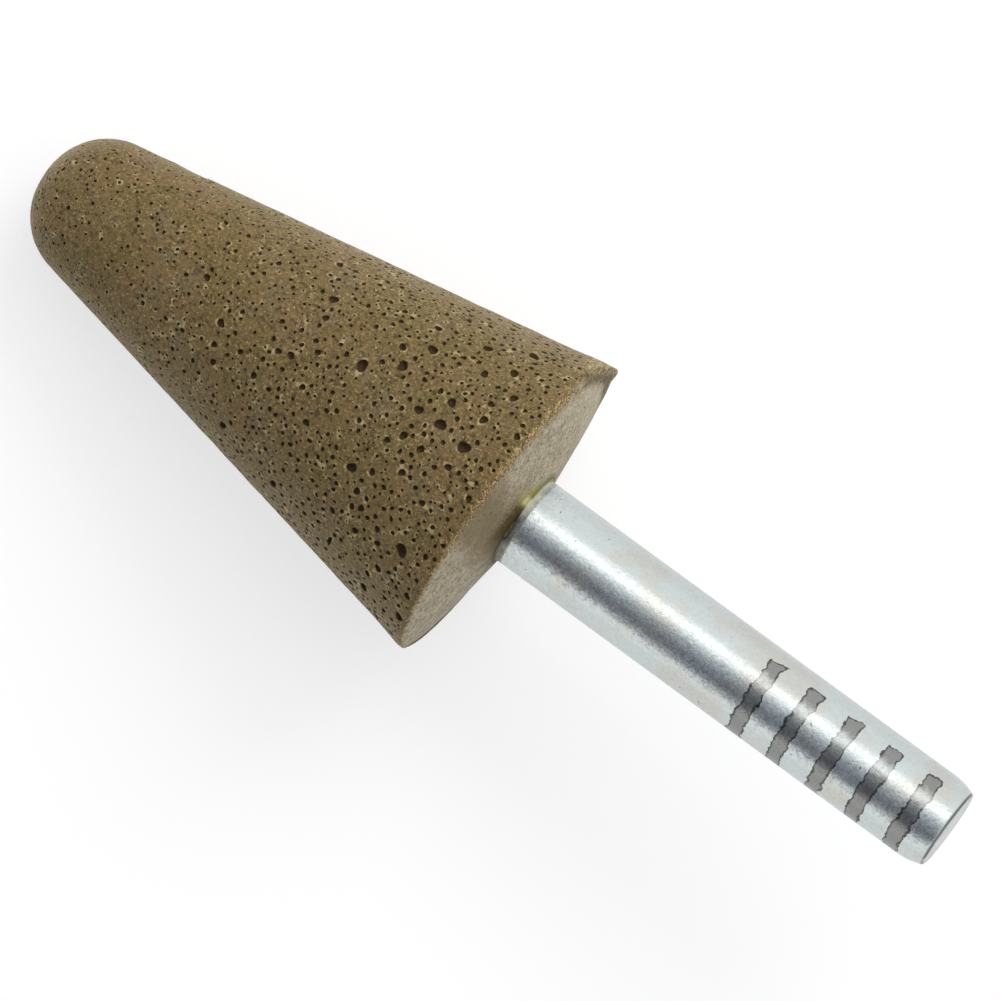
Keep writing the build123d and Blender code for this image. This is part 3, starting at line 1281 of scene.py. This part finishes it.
# %% [markdown]
# The look of the cement
#
# The cement is a yellow resin that was wiped while soft and has gone dull. It is yellow towards +Y,
# olive brown where it has picked up dirt and powdery towards -Y. It has the same pale spot as the
# stain beside it, a painted highlight of the lamp on the glue. The distance to the side, made uneven
# by noise, picks the colour.

# %% Colour the cement
resin_yellow = colour(148, 139, 66)
resin_olive = colour(66, 51, 22)
resin_dusty = colour(124, 110, 72)
resin_powdered = colour(126, 115, 88)

resin = Finish("set_cement")
place = resin.coordinates()
resin_across = resin.node("SeparateXYZ", Vector=place).outputs["Y"]
resin_clouds = resin.times(resin.noise(place, 0.9, 3.0, 0.6, 3.0), 4.0)
resin_side = resin.plus(resin_across, resin_clouds)
resin_look = resin.coats(
    resin_olive,
    (resin_yellow, resin_side, 1.6, 3.4),
    (resin_dusty, resin.noise(place, 1.5, 3.0, 0.6, 17.0), 0.50, 0.64),
    (resin_powdered, resin_side, 0.6, -0.4),
    # painted highlight: the lamp's pale spot on the glue
    (glue_painted_highlight, resin.gap(resin_across, glint_across), *glint_edges),
)
resin.shade(Base_Color=resin_look, Roughness=0.75, Specular_IOR_Level=0.25)
resin.roughen(resin.noise(place, 4.0, 3.0, 0.6), 0.4, 0.04 * mm)
resin.dress(cement)

# %% [markdown]
# The studio
#
# The tool lies on a white sheet and is lit as small goods are: a long soft lamp nearly overhead, a
# smaller one from the far side that brings out the pores, and pale walls all round. The polished
# shank mirrors that room, so a grey card hangs beside the long lamp. It is no lamp but glows, and
# its glow is painted light, darkest in its middle and palest towards the lamp. The small lamp is
# kept out of mirrors. The sheet glows a little for the camera, which makes it white and its shadow
# faint. More light would do that too, but it would bleach the tool.

# %% Lay the floor
floor_size = 1.6
seen_glow = 0.62
mirrored_glow = 0.79
seen_white = 1.06
mirrored_white = 0.84


def flat_sheet(name, length, width):
    """A flat rectangle that is centred on its own origin."""
    half_x, half_y = length / 2, width / 2
    corners = [(-half_x, -half_y, 0), (half_x, -half_y, 0), (half_x, half_y, 0), (-half_x, half_y, 0)]
    return mesh_object(name, np.array(corners), [(0, 1, 2, 3)])


floor = flat_sheet("floor", floor_size, floor_size)
sheet = Finish("white_sheet")
sheet.shade(Base_Color=(0.93, 0.93, 0.93, 1), Roughness=0.9)
rays = sheet.node("LightPath").outputs
seen_share = sheet.times(rays["Is Camera Ray"], seen_glow)
mirrored_share = sheet.times(rays["Is Glossy Ray"], mirrored_glow)
glow_share = sheet.plus(seen_share, mirrored_share)
whiteness = sheet.node("Mix", n0=rays["Is Camera Ray"], n2=mirrored_white, n3=seen_white).outputs[0]
glow = sheet.node("Emission", Strength=whiteness).outputs[0]
sheet_mix = sheet.node("MixShader", n0=glow_share, n1=sheet.shader.outputs[0], n2=glow).outputs[0]
sheet.feed(sheet.tree.nodes["Material Output"].inputs["Surface"], sheet_mix)
sheet.dress(floor)

# %% Hang the two lamps
centre = Vector(((cad_bounds[0][0] + cad_bounds[1][0]) / 2, 0, 0.01))
lamp_reach = 0.5
lamp_lean = radians(26.5)
lamp_size = (0.86, 0.20)
lamp_power = 0.46
side_lamp_lean = radians(48)
side_lamp_size = (0.30, 0.22)
side_lamp_power = 1.18


def hang(thing, lean, reach):
    """Hang something over the tool, leaning from overhead towards +Y, facing the tool."""
    offset = Vector((0, sin(lean), cos(lean))) * reach
    thing.location = centre + offset
    thing.rotation_euler = offset.to_track_quat("Z", "Y").to_euler()


def soft_lamp(name, size, power, lean):
    """Hang a soft rectangular lamp that faces the tool."""
    data = bpy.data.lights.new(name, "AREA")
    data.shape = "RECTANGLE"
    data.size, data.size_y = size
    data.energy = power
    lamp = bpy.data.objects.new(name, data)
    bpy.context.scene.collection.objects.link(lamp)
    hang(lamp, lean, lamp_reach)
    return lamp


soft_lamp("overhead_lamp", lamp_size, lamp_power, lamp_lean)
side_lamp = soft_lamp("side_lamp", side_lamp_size, side_lamp_power, side_lamp_lean)
side_lamp.visible_glossy = False
print("lamps of", lamp_power, "and", side_lamp_power, "W")

# %% Paint the room
wall_strength = 0.88
mirrored_strength = 0.97
seen_strength = 1.0

world = bpy.data.worlds.new("pale_room")
bpy.context.scene.world = world
world.use_nodes = True
room = world.node_tree
rays = room.nodes.new("ShaderNodeLightPath")
mirrored = room.nodes.new("ShaderNodeMix")
mirrored.inputs[2].default_value = wall_strength
mirrored.inputs[3].default_value = mirrored_strength
room.links.new(rays.outputs["Is Glossy Ray"], mirrored.inputs[0])
seen = room.nodes.new("ShaderNodeMix")
seen.inputs[3].default_value = seen_strength
room.links.new(rays.outputs["Is Camera Ray"], seen.inputs[0])
room.links.new(mirrored.outputs[0], seen.inputs[2])
room.nodes["Background"].inputs["Color"].default_value = (1.0, 1.0, 1.0, 1)
room.links.new(seen.outputs[0], room.nodes["Background"].inputs["Strength"])
print("walls at", wall_strength)

# %% Hang the grey card
card_lean = radians(-28.8)
card_reach = 0.45
card_length, card_width = 0.9, 0.56
# the card glows: its gradient is painted light, darkest in the middle, palest towards the lamp
card_dark = colour(106, 108, 119)
card_grey = colour(150, 153, 158)
card_painted_glow = colour(203, 210, 216)
dark_until = -0.09
painted_glow_from = -0.02

card = flat_sheet("dark_card", card_length, card_width)
hang(card, card_lean, card_reach)
cloth = Finish("glowing_card")
card_place = cloth.node("TexCoord").outputs["Object"]
card_across = cloth.node("SeparateXYZ", Vector=card_place).outputs["Y"]
card_look = cloth.coats(card_dark, (card_grey, card_across, dark_until, -card_width / 2))
painted_glow_share = cloth.between(card_across, painted_glow_from, card_width / 2, smooth=False)
cloth.shade(
    Base_Color=(0.0, 0.0, 0.0, 1),
    Roughness=1.0,
    Emission_Color=cloth.blend(painted_glow_share, card_look, card_painted_glow),
    Emission_Strength=1.0,
)
cloth.dress(card)
card.visible_camera = False

# %% [markdown]
# The camera
#
# The picture looks almost straight down at the tool, from far enough away that the two sides of the
# shank stay parallel. The camera stands square to a line that is a little flatter than the tool's
# axis, which is why the base of the cone shows as a thin ellipse. Its three directions are worked
# out from that line, because a camera that tracks a target would choose its own roll.

# %% Set up the camera
camera_distance = 550 * mm
field_width = 62.2 * mm
sensor_width = 36.0
axis_to_picture = radians(8.0)
picture_roll = radians(36.14)
aim_along = 35.41 * mm
aim_side = 0.13 * mm

lie = asin(axis.z)
picture_tilt = lie - axis_to_picture
back = Vector((-sin(picture_tilt), 0, cos(picture_tilt)))
level = Vector((cos(picture_tilt), 0, sin(picture_tilt)))
right = cos(picture_roll) * level + sin(picture_roll) * side
upward = cos(picture_roll) * side - sin(picture_roll) * level
aim = tip + axis * aim_along + side * aim_side
camera_data = bpy.data.cameras.new("camera")
camera_data.sensor_width = sensor_width
camera_data.lens = sensor_width * camera_distance / field_width
camera = bpy.data.objects.new("camera", camera_data)
bpy.context.scene.collection.objects.link(camera)
turned = Matrix((right, upward, back)).transposed().to_4x4()
camera.matrix_world = Matrix.Translation(aim + back * camera_distance) @ turned
bpy.context.scene.camera = camera
bpy.context.scene.view_settings.view_transform = "Standard"
print(f"lens {camera_data.lens:.0f} mm")
